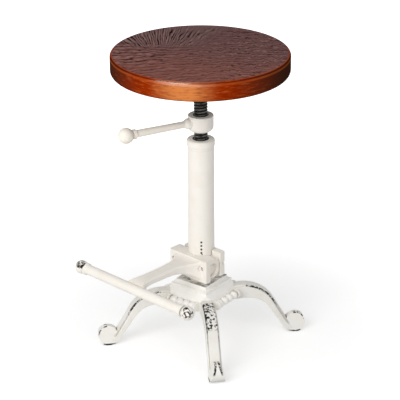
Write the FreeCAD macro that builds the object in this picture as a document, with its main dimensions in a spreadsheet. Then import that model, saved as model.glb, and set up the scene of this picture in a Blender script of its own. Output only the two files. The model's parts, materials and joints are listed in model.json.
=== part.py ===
import FreeCAD
import Part
import math
import os
import re
import Sketcher
from FreeCAD import Placement, Rotation, Vector

# Swivel counter stool: a wooden seat on a coarse screw, a lock collar with a lever, a tube column with
# a clamped footrest, and a square cast plinth on four cabriole legs with scroll feet.
# Millimetres, +Z up, footrest towards -Y, origin on the floor in the middle of the object's outline.

doc = FreeCAD.newDocument("swivel_counter_stool")
sheet = doc.addObject("Spreadsheet::Sheet", "Sizes")

SIZES = {
    # Where the stool's axis stands, from the middle of the whole object's outline on the floor
    "axis_right": 5.8,
    "axis_back": 24.5,
    # Clearances
    "running_fit": 0.05,
    "press_gap": 0.02,
    "face_gap": 0.3,
    # Extra depth of a blind hole beyond what stands in it, and of a cut beyond the piece it goes through
    "drill_over": 1,
    "cut_over": 20,
    # Wooden seat
    "seat_radius": 178,
    "seat_thick": 41,
    "seat_height": 623,
    "seat_top_round": 6,
    "seat_low_round": 8,
    # Spider bracket under the seat
    "spider_plate": 6,
    "spider_reach": 60,
    "spider_root_half": 15,
    "spider_tip_half": 11,
    "hub_radius": 23,
    "hub_drop": 26,
    "wood_screw_dia": 5,
    "wood_screw_head": 10,
    "wood_screw_long": 30,
    "hub_lip": 3,
    "hub_taper": 8,
    "spider_overlap": 7,
    # Seat screw with the guide and stop at its lower end
    "screw_dia": 28,
    "screw_long": 307,
    "screw_chamfer": 2,
    "spigot_dia": 17,
    "guide_tall": 24,
    "guide_chamfer": 2,
    "pin_dia": 6,
    "pin_sink": 0.5,
    "stop_dia": 30,
    "stop_thick": 3,
    "stop_bolt_dia": 8,
    "stop_bolt_grip": 20,
    "stop_head_wide": 13,
    "stop_head_tall": 5.5,
    # Column
    "tube_dia": 54,
    "tube_wall": 3,
    "seat_rise": 181,
    "cap_dia": 57,
    "cap_tall": 14,
    "cap_round": 4,
    "cap_chamfer": 1,
    "cap_spigot": 30,
    "nut_dia": 34,
    "nut_recess": 1,
    "nut_lead_in": 2,
    "plug_tall": 20,
    # Plinth
    "plinth_low": 86,
    "skirt_half": 58,
    "skirt_top": 105,
    "skirt_curve": 36,
    "corner_reach": 66,
    "slab_half": 44.5,
    "slab_low": 121,
    "slab_high": 128,
    "platform_half": 37.5,
    "cove_top": 134,
    "cove_radius": 7.5,
    "plinth_top": 136,
    "skirt_wall": 8,
    "corner_wall": 10,
    "roof_low": 108,
    "socket_deep": 18,
    # Turned rail on each side of the plinth
    "rail_reach": 64,
    "rail_height": 101,
    "rail_core_dia": 8,
    "bead_dia": 17,
    "bead_pitch": 16,
    "cup_dia": 20,
    "cup_thick": 3,
    # Tie bolt that holds the column on the plinth
    "tie_dia": 12,
    "tie_grip": 24,
    "tie_head_wide": 18,
    "tie_head_tall": 7.5,
    "tie_washer_dia": 34,
    "tie_washer_thick": 3,
    # Cabriole leg, in its own upright plane
    "leg_crest": 114.5,
    "knee_reach": 84,
    "knee_radius": 78,
    "shin_angle": 60,
    "arch_top": 85,
    "arch_reach": 95,
    "arch_radius": 54,
    "calf_angle": 56.5,
    "sole_reach": 193,
    "scroll_reach": 197.5,
    "scroll_radius": 20,
    "scroll_height": 19.5,
    "leg_width": 28,
    "rib_width": 22,
    "rib_rise": 4,
    "toe_low_width": 32,
    "toe_top_width": 10,
    "leg_round": 2,
    "leg_bolt_dia": 6,
    "leg_bolt_grip": 18,
    "leg_bolt_head_wide": 10,
    "leg_bolt_head_tall": 4,
    "leg_bolt_gap": 16,
    "leg_bolt_height": 98,
    # Lock collar and lever
    "collar_dia": 52,
    "collar_gap": 17.2,
    "collar_tall": 33.5,
    "collar_low_dia": 37,
    "collar_taper": 8,
    "collar_round": 2,
    "collar_curve": 10.4,
    "bush_dia": 32,
    "bush_lead_in": 1.5,
    "lever_turned": -25.6,
    "lever_lift": 18.8,
    "boss_dia": 24,
    "boss_start": 20,
    "boss_flat": 31,
    "boss_draft": 1,
    "boss_reach": 38,
    "rod_root_dia": 13.8,
    "rod_tip_dia": 15.2,
    "rod_spigot_dia": 9,
    "rod_spigot_long": 15,
    "ball_reach": 165.5,
    "ball_dia": 32,
    "neck_dia": 20,
    "neck_wide": 8,
    "neck_chamfer": 1,
    "neck_sink": 2,
    # Footrest bar
    "footrest_turned": -7.8,
    "bar_reach": 194.5,
    "bar_height": 175,
    "bar_dia": 21,
    "bar_ball_span": 301.4,
    "bar_ball_dia": 28,
    "bar_ring_dia": 25,
    "bar_ring_wide": 6,
    "bar_ring_chamfer": 1.5,
    "bar_ring_sink": 2,
    "bar_spigot_dia": 10,
    "bar_spigot_long": 12,
    # Footrest clamp and arm
    "clamp_width": 103,
    "clamp_face": 40,
    "clamp_plate": 13,
    "clamp_low": 149,
    "clamp_high": 197,
    "cheek_low": 157,
    "cheek_round": 14,
    "cheek_recess": 7,
    "cheek_rim": 4,
    "cheek_low_band": 2,
    "cheek_top_band": 9,
    "split_half": 1.5,
    "jaw_thick": 15,
    "jaw_low": 153,
    "jaw_high": 192,
    "lug_start": 29,
    "lug_high": 204,
    "jaw_wall": 8.5,
    "clamp_round": 3,
    "clamp_bolt_span": 81.4,
    "clamp_bolt_height": 179,
    "clamp_bolt_dia": 10,
    "clamp_head_dia": 16,
    "clamp_head_tall": 10,
    "clamp_socket_wide": 8,
    "clamp_socket_deep": 5,
    "clamp_washer_dia": 18,
    "clamp_washer_thick": 2,
    "clamp_nut_wide": 16,
    "clamp_nut_tall": 6,
    "nut_pocket_dia": 22,
    "clamp_bolt_end": 1,
    "arm_top": 190,
    "arm_deep": 14,
    "arm_half": 15.5,
    "arm_bevel": 3,
    # Where the arm spreads to the clamp: reach from the clamp's face, spread to a side, depth below the arm
    "root_spread": 24,
    "root_margin": 2,
    "neck_out": 12,
    "neck_spread": 13,
    "neck_deep": 14,
    "waist_out": 32,
    "waist_spread": 4,
    "waist_deep": 5,
    "slim_out": 75,
    # Where it spreads again to hold the bar
    "grip_start": 14,
    "grip_spread": 8,
    "grip_cover": 4,
    "grip_low": 2,
}

for row, (name, number) in enumerate(SIZES.items(), start=1):
    sheet.set(f"A{row}", name)
    sheet.set(f"B{row}", str(number))
    sheet.setAlias(f"B{row}", name)
doc.recompute()

UP = Vector(0, 0, 1)
ALONG_X = Vector(1, 0, 0)
ALONG_Y = Vector(0, 1, 0)
TOLERANCE = 1e-4


def bound(text):
    """An expression in the sheet's names, ready for setExpression."""
    return re.sub(r"[a-z]+(?:_[a-z]+)+", lambda word: "Sizes." + word.group(), text)


def value(text):
    """The number that an expression in the sheet's names has now."""
    return float(sheet.evalExpression(bound(text)))


def new_body(label):
    body = doc.addObject("PartDesign::Body", label)
    body.Label = label
    return body


def origin_plane(body, role):
    return next(item for item in body.Origin.OriginFeatures if item.Role == role)


def pin_point(sketch, geometry, end, x, y):
    """Hold one end of a sketch line or arc at a pair of expressions."""
    for text, axis, kind in ((x, -2, "DistanceX"), (y, -1, "DistanceY")):
        if text == "0":
            sketch.addConstraint(Sketcher.Constraint("PointOnObject", geometry, end, axis))
        else:
            number = sketch.addConstraint(
                Sketcher.Constraint(kind, -1, 1, geometry, end, value(text)))
            sketch.setExpression(f"Constraints[{number}]", bound(text))


def arc_between(start, end, radius, side):
    """A sketch arc from start to end that bulges left (+1) or right (-1) of the way along."""
    chord = end - start
    half = chord.Length / 2
    left = Vector(-chord.y, chord.x, 0).normalize()
    centre = (start + end) / 2 - left * side * math.sqrt(radius ** 2 - half ** 2)
    first, last = (end, start) if side > 0 else (start, end)
    angles = [math.atan2(point.y - centre.y, point.x - centre.x) for point in (first, last)]
    return Part.ArcOfCircle(Part.Circle(centre, UP, radius), *angles)


def outline(body, role, points, lift="0", turn=0):
    """A closed sketch on an origin plane, lifted off it and turned in it. A point is (x, y), or
    (x, y, radius, side) at an arc's end."""
    sketch = body.newObject("Sketcher::SketchObject", body.Name + "_sketch")
    sketch.AttachmentSupport = [(origin_plane(body, role), "")]
    sketch.MapMode = "FlatFace"
    if lift != "0" or turn:
        sketch.AttachmentOffset = Placement(Vector(0, 0, value(lift)), Rotation(UP, turn))
        sketch.setExpression("AttachmentOffset.Base.z", bound(lift))
    places = [Vector(value(point[0]), value(point[1]), 0) for point in points]
    starts = []
    for index, point in enumerate(points):
        before, here = places[index - 1], places[index]
        if len(point) == 2:
            number = sketch.addGeometry(Part.LineSegment(before, here))
            starts.append((number, 1, 2))
        else:
            side = point[3]
            number = sketch.addGeometry(arc_between(before, here, value(point[2]), side))
            held = sketch.addConstraint(Sketcher.Constraint("Radius", number, value(point[2])))
            sketch.setExpression(f"Constraints[{held}]", bound(point[2]))
            starts.append((number, 2, 1) if side > 0 else (number, 1, 2))
    for index, point in enumerate(points):
        number, _, tail = starts[index]
        following, head, _ = starts[(index + 1) % len(points)]
        sketch.addConstraint(Sketcher.Constraint("Coincident", number, tail, following, head))
        pin_point(sketch, number, tail, point[0], point[1])
    return sketch


def turned(label, points):
    """A body revolved about Z from a half profile of (radius, height)."""
    body = new_body(label)
    sketch = outline(body, "XZ_Plane", points)
    feature = body.newObject("PartDesign::Revolution", label + "_turn")
    feature.Profile = sketch
    feature.ReferenceAxis = (sketch, ["V_Axis"])
    feature.Angle = 360
    doc.recompute()
    return body


def pad(body, sketch, length, symmetric=False, reverse=False):
    feature = body.newObject("PartDesign::Pad", body.Name + "_pad")
    feature.Profile = sketch
    feature.SideType = "Symmetric" if symmetric else "One side"
    feature.Reversed = reverse
    feature.setExpression("Length", bound(length))
    doc.recompute()
    return feature


def pocket(body, sketch, length, symmetric=False, reverse=False):
    feature = body.newObject("PartDesign::Pocket", body.Name + "_pocket")
    feature.Profile = sketch
    feature.SideType = "Symmetric" if symmetric else "One side"
    feature.Reversed = reverse
    feature.setExpression("Length", bound(length))
    doc.recompute()
    return feature


def primitive(body, kind, sizes, place, direction=UP):
    """A PartDesign primitive with its own Z laid along a direction and its sizes bound to the sheet."""
    feature = body.newObject("PartDesign::" + kind, f"{body.Name}_{kind}")
    for name, text in sizes.items():
        feature.setExpression(name, bound(text))
    feature.Placement = Placement(Vector(*map(value, place)), Rotation(UP, direction))
    for axis, text in zip("xyz", place):
        feature.setExpression(f"Placement.Base.{axis}", bound(text))
    doc.recompute()
    return feature


def quarter(place, step):
    """A place turned about the stool's axis by a number of quarter turns."""
    x, y, z = place
    return [(x, y, z), (f"-({y})", x, z), (f"-({x})", f"-({y})", z), (y, f"-({x})", z)][step]


def quarters(body, kind, sizes, place, direction=UP):
    """Four equal primitives, a quarter turn apart about the stool's axis."""
    for step in range(4):
        primitive(body, kind, sizes, quarter(place, step), Rotation(UP, 90 * step).multVec(direction))


def soften(body, radius, wanted):
    """Round the edges of the body's last feature that the test wanted(edge) picks."""
    base = body.Tip
    names = [f"Edge{number}" for number, edge in enumerate(base.Shape.Edges, start=1) if wanted(edge)]
    feature = body.newObject("PartDesign::Fillet", body.Name + "_round")
    feature.Base = (base, names)
    feature.setExpression("Radius", bound(radius))
    doc.recompute()


def ring_at(radius, height):
    """A test for a full circle about Z of one radius at one height."""
    radius, height = value(radius), value(height)

    def wanted(edge):
        curve = edge.Curve
        if not isinstance(curve, Part.Circle):
            return False
        middle = edge.BoundBox
        return (abs(curve.Radius - radius) < TOLERANCE
                and abs(middle.ZMin - height) < TOLERANCE and abs(middle.ZMax - height) < TOLERANCE)
    return wanted


def upright(edge):
    """True for a straight edge parallel to Z."""
    box = edge.BoundBox
    return box.ZLength > TOLERANCE and box.XLength < TOLERANCE and box.YLength < TOLERANCE


def lay(item, place=("0", "0", "0"), direction=UP, turn="0"):
    """Lay a piece's own Z along a direction at a place by the stool's axis, then turn it about that axis."""
    x, y, z = place
    about = Rotation(UP, value(turn))
    item.Placement = Placement(Vector(), about.multiply(Rotation(UP, direction)))
    item.setExpression("Placement.Base.x", bound(f"axis_right + ({x}) * cos({turn}) - ({y}) * sin({turn})"))
    item.setExpression("Placement.Base.y", bound(f"axis_back + ({x}) * sin({turn}) + ({y}) * cos({turn})"))
    item.setExpression("Placement.Base.z", bound(z))


def hexagon(width):
    """Corner points of a hexagon with a flat on each side along its own X."""
    half = f"{width} / 2"
    corner = f"{width} / sqrt(3)"
    return [(half, f"-{corner} / 2"), (half, f"{corner} / 2"), ("0", corner),
            (f"-{half}", f"{corner} / 2"), (f"-{half}", f"-{corner} / 2"), ("0", f"-{corner}")]


def hex_bolt(label, diameter, grip, head_wide, head_tall):
    """A hex bolt with its head's seat at the origin and its shank up along Z."""
    body = new_body(label)
    pad(body, outline(body, "XY_Plane", hexagon(head_wide)), head_tall, reverse=True)
    primitive(body, "AdditiveCylinder", {"Radius": f"{diameter} / 2", "Height": grip}, ("0", "0", "0"))
    return body


def group(label, members):
    """Several equal fasteners kept together as one named group of solids."""
    compound = doc.addObject("Part::Compound", label)
    compound.Label = label
    compound.Links = members
    return compound


NODES = []


def keep(item):
    """List a piece as a node, standing on the stool's axis until it is laid elsewhere."""
    if item.TypeId != "Part::Compound":
        lay(item)
    NODES.append(item)
    return item


# Wooden seat, with pilot holes for the bracket's screws
SEAT_LOW = "(seat_height - seat_thick)"
seat = keep(turned("seat_disc", [
    ("0", SEAT_LOW), ("seat_radius", SEAT_LOW), ("seat_radius", "seat_height"), ("0", "seat_height")]))
soften(seat, "seat_top_round", ring_at("seat_radius", "seat_height"))
soften(seat, "seat_low_round", ring_at("seat_radius", SEAT_LOW))
quarters(seat, "SubtractiveCylinder",
         {"Radius": "wood_screw_dia / 2 + press_gap",
          "Height": "wood_screw_long - spider_plate + drill_over"},
         ("spider_reach", "0", SEAT_LOW))

# Spider bracket: a hub with four tapered arms screwed to the seat
HUB_LOW = f"({SEAT_LOW} - spider_plate - hub_drop)"
spider = keep(turned("seat_spider", [
    ("screw_dia / 2 + press_gap", HUB_LOW), ("hub_radius - hub_lip", HUB_LOW),
    ("hub_radius", f"{HUB_LOW} + hub_taper"),
    ("hub_radius", SEAT_LOW), ("screw_dia / 2 + press_gap", SEAT_LOW)]))
ARM_START = "(hub_radius - spider_overlap)"
for step in range(4):
    pad(spider, outline(spider, "XY_Plane", [
        (ARM_START, "-spider_root_half"), ("spider_reach", "-spider_tip_half"),
        ("spider_reach", "spider_tip_half", "spider_tip_half * 1.001", -1),
        (ARM_START, "spider_root_half")], SEAT_LOW, 90 * step), "spider_plate", reverse=True)
quarters(spider, "SubtractiveCylinder",
         {"Radius": "wood_screw_dia / 2 + running_fit", "Height": "spider_plate * 2"},
         ("spider_reach", "0", f"{SEAT_LOW} - spider_plate * 1.5"))
quarters(spider, "SubtractiveCone",
         {"Radius1": "wood_screw_head / 2 + running_fit", "Radius2": "wood_screw_dia / 2 + running_fit",
          "Height": "(wood_screw_head - wood_screw_dia) / 2"},
         ("spider_reach", "0", f"{SEAT_LOW} - spider_plate"))
PIN_HEIGHT = f"({HUB_LOW} + hub_drop / 2)"
primitive(spider, "SubtractiveCylinder", {"Radius": "pin_dia / 2 + press_gap", "Height": "hub_radius * 2"},
          ("-hub_radius", "0", PIN_HEIGHT), ALONG_X)

# Countersunk wood screws in the bracket's arms
wood_screws = []
for number in range(4):
    wood_screw = turned(f"wood_screw_{number}", [
        ("0", f"{SEAT_LOW} - spider_plate"), ("wood_screw_head / 2", f"{SEAT_LOW} - spider_plate"),
        ("wood_screw_dia / 2", f"{SEAT_LOW} - spider_plate + (wood_screw_head - wood_screw_dia) / 2"),
        ("wood_screw_dia / 2", f"{SEAT_LOW} - spider_plate + wood_screw_long - wood_screw_dia"),
        ("0", f"{SEAT_LOW} - spider_plate + wood_screw_long")])
    lay(wood_screw, ("spider_reach", "0", "0"), UP, str(90 * number))
    wood_screws.append(wood_screw)
keep(group("seat_screws", wood_screws))

# Seat screw: the threaded length, with a spigot below that turns in the guide
SCREW_LOW = f"({SEAT_LOW} - screw_long)"
SPIGOT_LOW = f"({SCREW_LOW} - guide_tall)"
screw = keep(turned("seat_screw", [
    ("0", SPIGOT_LOW), ("spigot_dia / 2", SPIGOT_LOW), ("spigot_dia / 2", SCREW_LOW),
    ("screw_dia / 2 - screw_chamfer", SCREW_LOW), ("screw_dia / 2", f"{SCREW_LOW} + screw_chamfer"),
    ("screw_dia / 2", SEAT_LOW), ("0", SEAT_LOW)]))
primitive(screw, "SubtractiveCylinder", {"Radius": "pin_dia / 2 + press_gap", "Height": "screw_dia"},
          ("-screw_dia / 2", "0", PIN_HEIGHT), ALONG_X)
primitive(screw, "SubtractiveCylinder",
          {"Radius": "stop_bolt_dia / 2 + press_gap", "Height": "stop_bolt_grip - stop_thick + drill_over"},
          ("0", "0", SPIGOT_LOW))

# Cross pin that fixes the screw in the bracket's hub
pin = keep(turned("cross_pin", [
    ("0", "pin_sink"), ("pin_dia / 2", "pin_sink"), ("pin_dia / 2", "hub_radius * 2 - pin_sink"),
    ("0", "hub_radius * 2 - pin_sink")]))
lay(pin, ("-hub_radius", "0", PIN_HEIGHT), ALONG_X)

# Guide ring that slides in the tube and keeps the screw upright
TUBE_BORE = "(tube_dia / 2 - tube_wall)"
keep(turned("guide_ring", [
    ("spigot_dia / 2 + running_fit", f"{SPIGOT_LOW} + face_gap"),
    (f"{TUBE_BORE} - running_fit - guide_chamfer", f"{SPIGOT_LOW} + face_gap"),
    (f"{TUBE_BORE} - running_fit", f"{SPIGOT_LOW} + face_gap + guide_chamfer"),
    (f"{TUBE_BORE} - running_fit", f"{SCREW_LOW} - face_gap - guide_chamfer"),
    (f"{TUBE_BORE} - running_fit - guide_chamfer", f"{SCREW_LOW} - face_gap"),
    ("spigot_dia / 2 + running_fit", f"{SCREW_LOW} - face_gap")]))

# Stop plate and bolt under the guide, which end the seat's upward travel
keep(turned("stop_plate", [
    ("stop_bolt_dia / 2 + running_fit", f"{SPIGOT_LOW} - stop_thick"),
    ("stop_dia / 2", f"{SPIGOT_LOW} - stop_thick"), ("stop_dia / 2", SPIGOT_LOW),
    ("stop_bolt_dia / 2 + running_fit", SPIGOT_LOW)]))
stop_bolt = keep(hex_bolt("stop_bolt", "stop_bolt_dia", "stop_bolt_grip", "stop_head_wide", "stop_head_tall"))
lay(stop_bolt, ("0", "0", f"{SPIGOT_LOW} - stop_thick"), UP)

# Column tube, seated in the plinth's socket
TUBE_LOW = "(plinth_top - socket_deep)"
COLUMN_TOP = "(seat_height - seat_rise)"
TUBE_TOP = f"({COLUMN_TOP} - cap_tall)"
keep(turned("column_tube", [
    (TUBE_BORE, TUBE_LOW), ("tube_dia / 2", TUBE_LOW), ("tube_dia / 2", TUBE_TOP), (TUBE_BORE, TUBE_TOP)]))

# Cap: a flanged sleeve in the tube's top, which carries the thread nut
cap = keep(turned("column_cap", [
    ("nut_dia / 2 + press_gap", f"{TUBE_TOP} - cap_spigot"),
    (f"{TUBE_BORE} - press_gap", f"{TUBE_TOP} - cap_spigot"),
    (f"{TUBE_BORE} - press_gap", TUBE_TOP), ("cap_dia / 2 - cap_chamfer", TUBE_TOP),
    ("cap_dia / 2", f"{TUBE_TOP} + cap_chamfer"), ("cap_dia / 2", COLUMN_TOP),
    ("nut_dia / 2 + press_gap", COLUMN_TOP)]))
soften(cap, "cap_round", ring_at("cap_dia / 2", COLUMN_TOP))

# Thread nut in the cap
NUT_TOP = f"({COLUMN_TOP} - nut_recess)"
keep(turned("thread_nut", [
    ("screw_dia / 2 + running_fit", f"{TUBE_TOP} - cap_spigot"),
    ("nut_dia / 2", f"{TUBE_TOP} - cap_spigot"), ("nut_dia / 2", NUT_TOP),
    ("screw_dia / 2 + running_fit + nut_lead_in", NUT_TOP),
    ("screw_dia / 2 + running_fit", f"{NUT_TOP} - nut_lead_in")]))

# Plug in the tube's foot, which takes the tie bolt
keep(turned("column_plug", [
    ("tie_dia / 2 + press_gap", TUBE_LOW), (f"{TUBE_BORE} - press_gap", TUBE_LOW),
    (f"{TUBE_BORE} - press_gap", f"{TUBE_LOW} + plug_tall"),
    ("tie_dia / 2 + press_gap", f"{TUBE_LOW} + plug_tall")]))

# Tie bolt and washer under the plinth's roof
keep(turned("tie_washer", [
    ("tie_dia / 2 + running_fit", "roof_low - tie_washer_thick"),
    ("tie_washer_dia / 2", "roof_low - tie_washer_thick"), ("tie_washer_dia / 2", "roof_low"),
    ("tie_dia / 2 + running_fit", "roof_low")]))
tie_bolt = keep(hex_bolt("tie_bolt", "tie_dia", f"tie_grip + {TUBE_LOW} - roof_low", "tie_head_wide",
                         "tie_head_tall"))
lay(tie_bolt, ("0", "0", "roof_low - tie_washer_thick"), UP)

# Plinth: one moulding profile carried round a square, with its corners cut for the legs
plinth = keep(new_body("base_plinth"))
MOULDING = [
    ("skirt_half", "plinth_low"), ("skirt_half", "skirt_top"),
    ("slab_half", "slab_low", "skirt_curve", -1), ("slab_half", "slab_high"),
    ("platform_half", "cove_top", "cove_radius", 1), ("platform_half", "plinth_top")]
MIRRORED = [
    ("-platform_half", "plinth_top"), ("-platform_half", "cove_top"),
    ("-slab_half", "slab_high", "cove_radius", 1), ("-slab_half", "slab_low"),
    ("-skirt_half", "skirt_top", "skirt_curve", -1), ("-skirt_half", "plinth_low")]
pad(plinth, outline(plinth, "XZ_Plane", MOULDING + MIRRORED), "skirt_half * 2", symmetric=True)
ROOM = "(skirt_half + cut_over)"
for side in ("", "-"):
    outside = [(side + point[0], *point[1:]) for point in MOULDING]
    if side:
        outside = [(*point[:3], -point[3]) if len(point) > 2 else point for point in outside]
    outside += [("0", "plinth_top"), ("0", f"{ROOM} + plinth_top"), (f"{side}{ROOM}", f"{ROOM} + plinth_top"),
                (f"{side}{ROOM}", "plinth_low")]
    pocket(plinth, outline(plinth, "YZ_Plane", outside), "skirt_half * 2", symmetric=True)
CORNER = "(corner_reach * sqrt(2) - skirt_half)"
for along in ("", "-"):
    for across in ("", "-"):
        pocket(plinth, outline(plinth, "XY_Plane", [
            (f"{along}skirt_half", f"{across}{CORNER}"), (f"{along}{ROOM}", f"{across}{CORNER}"),
            (f"{along}{ROOM}", f"{across}{ROOM}"), (f"{along}{CORNER}", f"{across}{ROOM}"),
            (f"{along}{CORNER}", f"{across}skirt_half")]), "plinth_top * 2", symmetric=True)

# The plinth's turned rails: beads on a core between two cups, one rail to each side
quarters(plinth, "AdditiveCylinder",
         {"Radius": "rail_core_dia / 2", "Height": "bead_pitch * 4 + cup_thick * 2"},
         ("-bead_pitch * 2 - cup_thick", "-rail_reach", "rail_height"), ALONG_X)
for place in (-1.5, -0.5, 0.5, 1.5):
    quarters(plinth, "AdditiveEllipsoid",
             {"Radius1": "bead_pitch / 2", "Radius2": "bead_dia / 2", "Radius3": "bead_dia / 2"},
             (f"bead_pitch * {place}", "-rail_reach", "rail_height"), ALONG_X)
for start in ("-bead_pitch * 2 - cup_thick", "bead_pitch * 2"):
    quarters(plinth, "AdditiveCylinder", {"Radius": "cup_dia / 2", "Height": "cup_thick"},
             (start, "-rail_reach", "rail_height"), ALONG_X)

# The plinth's hollow underside, column socket and bolt holes
HOLLOW = "(skirt_half - skirt_wall)"
HOLLOW_CORNER = f"((corner_reach - corner_wall) * sqrt(2) - {HOLLOW})"
octagon = [(HOLLOW, HOLLOW_CORNER), (HOLLOW_CORNER, HOLLOW), (f"-{HOLLOW_CORNER}", HOLLOW),
           (f"-{HOLLOW}", HOLLOW_CORNER), (f"-{HOLLOW}", f"-{HOLLOW_CORNER}"),
           (f"-{HOLLOW_CORNER}", f"-{HOLLOW}"), (HOLLOW_CORNER, f"-{HOLLOW}"),
           (HOLLOW, f"-{HOLLOW_CORNER}")]
pocket(plinth, outline(plinth, "XY_Plane", octagon, "plinth_low"), "roof_low - plinth_low", reverse=True)
primitive(plinth, "SubtractiveCylinder", {"Radius": "tube_dia / 2 + press_gap", "Height": "socket_deep * 2"},
          ("0", "0", TUBE_LOW))
primitive(plinth, "SubtractiveCylinder", {"Radius": "tie_dia / 2 + running_fit", "Height": "plinth_top"},
          ("0", "0", "0"))
DIAGONAL = Vector(1, 1, 0).normalize()
BOLT_WAY = "(corner_reach - corner_wall * 1.5)"
for first, second in (("-", "+"), ("+", "-")):
    quarters(plinth, "SubtractiveCylinder",
             {"Radius": "leg_bolt_dia / 2 + running_fit", "Height": "corner_wall * 2"},
             (f"({BOLT_WAY} {first} leg_bolt_gap / 2) / sqrt(2)",
              f"({BOLT_WAY} {second} leg_bolt_gap / 2) / sqrt(2)", "leg_bolt_height"), DIAGONAL)


def leg_side(drop, width):
    """A leg's side outline down to the toe, its upper edge lowered by drop, given its width."""
    shin, calf = math.radians(value("shin_angle")), math.radians(value("calf_angle"))
    root = value("corner_reach")
    knee = Vector(value("knee_reach"), 0, value("leg_crest - knee_radius"))
    knee_radius = value("knee_radius") - drop
    arch = Vector(value("arch_reach"), 0, value("arch_top - arch_radius"))
    arch_radius = value("arch_radius")
    scroll = Vector(value("scroll_reach"), 0, value("scroll_height"))
    scroll_radius = value("scroll_radius")

    def on_circle(centre, radius, angle):
        """The point of a circle that faces an angle from upright, turned outwards."""
        return centre + Vector(math.sin(angle), 0, math.cos(angle)) * radius

    root_angle = math.asin((root - knee.x) / knee_radius)
    root_top = on_circle(knee, knee_radius, root_angle)
    shin_top = on_circle(knee, knee_radius, shin)
    down_shin = Vector(math.cos(shin), 0, -math.sin(shin))
    to_scroll = scroll - shin_top
    nearest = to_scroll.dot(down_shin)
    aside = math.sqrt(to_scroll.Length ** 2 - nearest ** 2)
    notch = shin_top + down_shin * (nearest - math.sqrt(scroll_radius ** 2 - aside ** 2))
    calf_top = on_circle(arch, arch_radius, calf)
    arch_start = on_circle(arch, arch_radius, 0)
    sole_start = Vector(value("sole_reach"), 0, 0)
    sole_radius = ((sole_start.x - calf_top.x) * math.sin(calf) - calf_top.z * math.cos(calf)) / (
        1 - math.cos(calf))
    sole = sole_start + UP * sole_radius
    calf_low = on_circle(sole, sole_radius, math.pi + calf)
    edges = [
        Part.Arc(root_top, on_circle(knee, knee_radius, (root_angle + shin) / 2), shin_top).toShape(),
        Part.makeLine(shin_top, notch),
        Part.makeLine(notch, scroll - UP * scroll.z),
        Part.makeLine(scroll - UP * scroll.z, sole_start),
        Part.Arc(sole_start, on_circle(sole, sole_radius, math.pi + calf / 2), calf_low).toShape(),
        Part.makeLine(calf_low, calf_top),
        Part.Arc(calf_top, on_circle(arch, arch_radius, calf / 2), arch_start).toShape(),
        Part.makeLine(arch_start, Vector(root, 0, arch_start.z)),
        Part.makeLine(Vector(root, 0, arch_start.z), root_top)]
    face = Part.Face(Part.Wire(edges))
    solid = face.extrude(ALONG_Y * width).translated(ALONG_Y * (-width / 2))

    def on_top(edge):
        """True for an edge that runs along the upper outline, over the knee or down the shin."""
        middle = edge.valueAt((edge.FirstParameter + edge.LastParameter) / 2)
        if abs(abs(middle.y) - width / 2) > TOLERANCE:
            return False
        middle.y = 0
        return min(top.distToShape(Part.Vertex(middle))[0] for top in edges[:2]) < TOLERANCE

    return solid.makeFillet(value("leg_round"), [edge for edge in solid.Edges if on_top(edge)])


def leg_shape():
    """A ribbed shank with a scroll toe that narrows upwards, and blind holes in its root."""
    shank = leg_side(value("rib_rise"), value("leg_width")).fuse(leg_side(0, value("rib_width")))
    low, high = value("toe_low_width") / 2, value("toe_top_width") / 2
    tall = value("scroll_height + scroll_radius")
    reach = value("scroll_reach - scroll_radius")
    ends = [Vector(reach, across, up) for across, up in ((-low, 0), (low, 0), (high, tall), (-high, tall))]
    wedge = Part.Face(Part.makePolygon(ends + ends[:1])).extrude(ALONG_X * value("scroll_radius * 2"))
    round_end = Part.makeCylinder(value("scroll_radius"), low * 2,
                                  Vector(value("scroll_reach"), -low, value("scroll_height")), ALONG_Y)
    toe = round_end.common(wedge)
    leg = shank.fuse(toe).removeSplitter()
    for side in (-1, 1):
        leg = leg.cut(Part.makeCylinder(
            value("leg_bolt_dia / 2 + press_gap"), value("leg_bolt_grip + drill_over"),
            Vector(value("corner_reach"), side * value("leg_bolt_gap / 2"), value("leg_bolt_height")),
            ALONG_X))
    return leg


LEGS = {"leg_front_right": -45, "leg_back_right": 45, "leg_back_left": 135, "leg_front_left": 225}
one_leg = leg_shape()
for label, angle in LEGS.items():
    leg = doc.addObject("Part::Feature", label)
    leg.Label = label
    leg.Shape = one_leg
    lay(keep(leg), turn=str(angle))

# Bolts from inside the plinth into the legs' roots
leg_bolts = []
for angle in LEGS.values():
    for side in (-1, 1):
        bolt = hex_bolt(f"leg_bolt_{len(leg_bolts)}", "leg_bolt_dia", "leg_bolt_grip + corner_wall",
                        "leg_bolt_head_wide", "leg_bolt_head_tall")
        lay(bolt, ("corner_reach - corner_wall", f"leg_bolt_gap / 2 * {side}", "leg_bolt_height"), ALONG_X,
            str(angle))
        leg_bolts.append(bolt)
keep(group("leg_bolts", leg_bolts))

# Lock collar on the screw, with its threaded bush and the boss that takes the lever
COLLAR_LOW = f"({COLUMN_TOP} + collar_gap)"
COLLAR_TOP = f"({COLLAR_LOW} + collar_tall)"
LEVER_HEIGHT = f"({COLLAR_LOW} + lever_lift)"
keep(turned("collar_bush", [
    ("screw_dia / 2 + running_fit", COLLAR_LOW), ("bush_dia / 2", COLLAR_LOW), ("bush_dia / 2", COLLAR_TOP),
    ("screw_dia / 2 + running_fit + bush_lead_in", COLLAR_TOP),
    ("screw_dia / 2 + running_fit", f"{COLLAR_TOP} - bush_lead_in")]))
collar = keep(turned("lock_collar", [
    ("bush_dia / 2 + running_fit", COLLAR_LOW), ("collar_low_dia / 2", COLLAR_LOW),
    ("collar_dia / 2", f"{COLLAR_LOW} + collar_taper", "collar_curve", -1), ("collar_dia / 2", COLLAR_TOP),
    ("bush_dia / 2 + running_fit", COLLAR_TOP)]))
soften(collar, "collar_round", ring_at("collar_dia / 2", COLLAR_TOP))
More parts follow.
